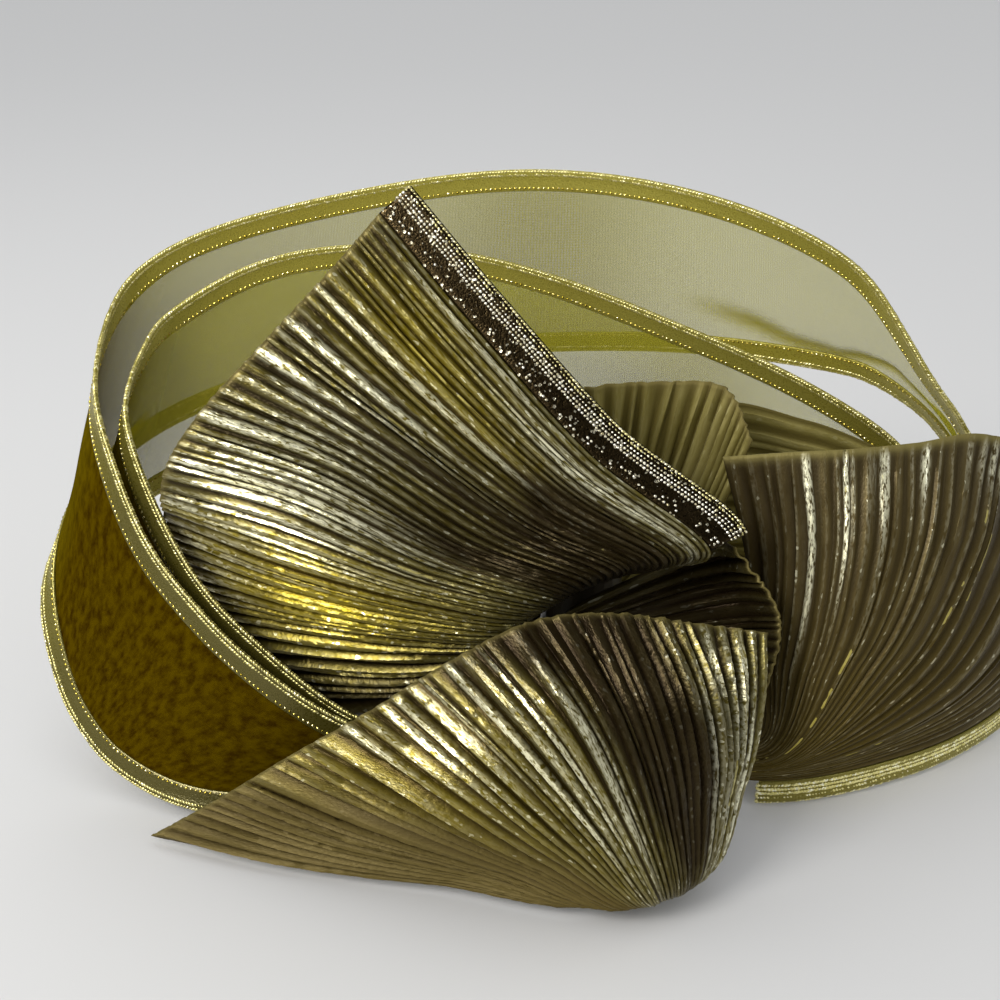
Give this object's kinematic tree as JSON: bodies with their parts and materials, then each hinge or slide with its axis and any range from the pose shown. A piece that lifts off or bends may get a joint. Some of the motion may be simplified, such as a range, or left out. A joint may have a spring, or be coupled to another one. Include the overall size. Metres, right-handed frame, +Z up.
{
  "type": "ribbon fascinator",
  "caption": "Hair fascinator of sheer ribbon loops and crinkle-pleated metallic ribbon leaves, gathered round a post on a plain comb.",
  "frame": {"origin": "middle of the bounding box, on the table that it lies on", "axes": "+X to the right as the leaves face the viewer, +Y away from the viewer, the way the comb's teeth point, +Z up"},
  "size_m": [0.2092, 0.1168, 0.116],
  "materials": {
    "pleated_lame": "metallic crinkle-pleated lame",
    "pleated_lame_back": "lighter reverse of the pleated lame",
    "sheer_gold": "sheer olive-gold organza",
    "gold_braid": "metallic thread braid",
    "bead_hem": "metallic corded hem",
    "comb_plastic": "plain dark plastic"
  },
  "bodies": {
    "root": {"hair_comb": "comb_plastic", "outer_loop": "sheer_gold", "outer_loop_top_braid": "gold_braid", "outer_loop_bottom_braid": "gold_braid", "inner_loop": "sheer_gold", "inner_loop_top_braid": "gold_braid", "inner_loop_bottom_braid": "gold_braid", "upper_leaf": "pleated_lame", "upper_leaf_hem": "bead_hem", "centre_fold": "pleated_lame", "lower_leaf": "pleated_lame", "right_leaf": "pleated_lame", "right_leaf_hem": "gold_braid", "right_leaf_back": "pleated_lame_back", "back_leaf": "pleated_lame_back"}
  },
  "joints": []
}
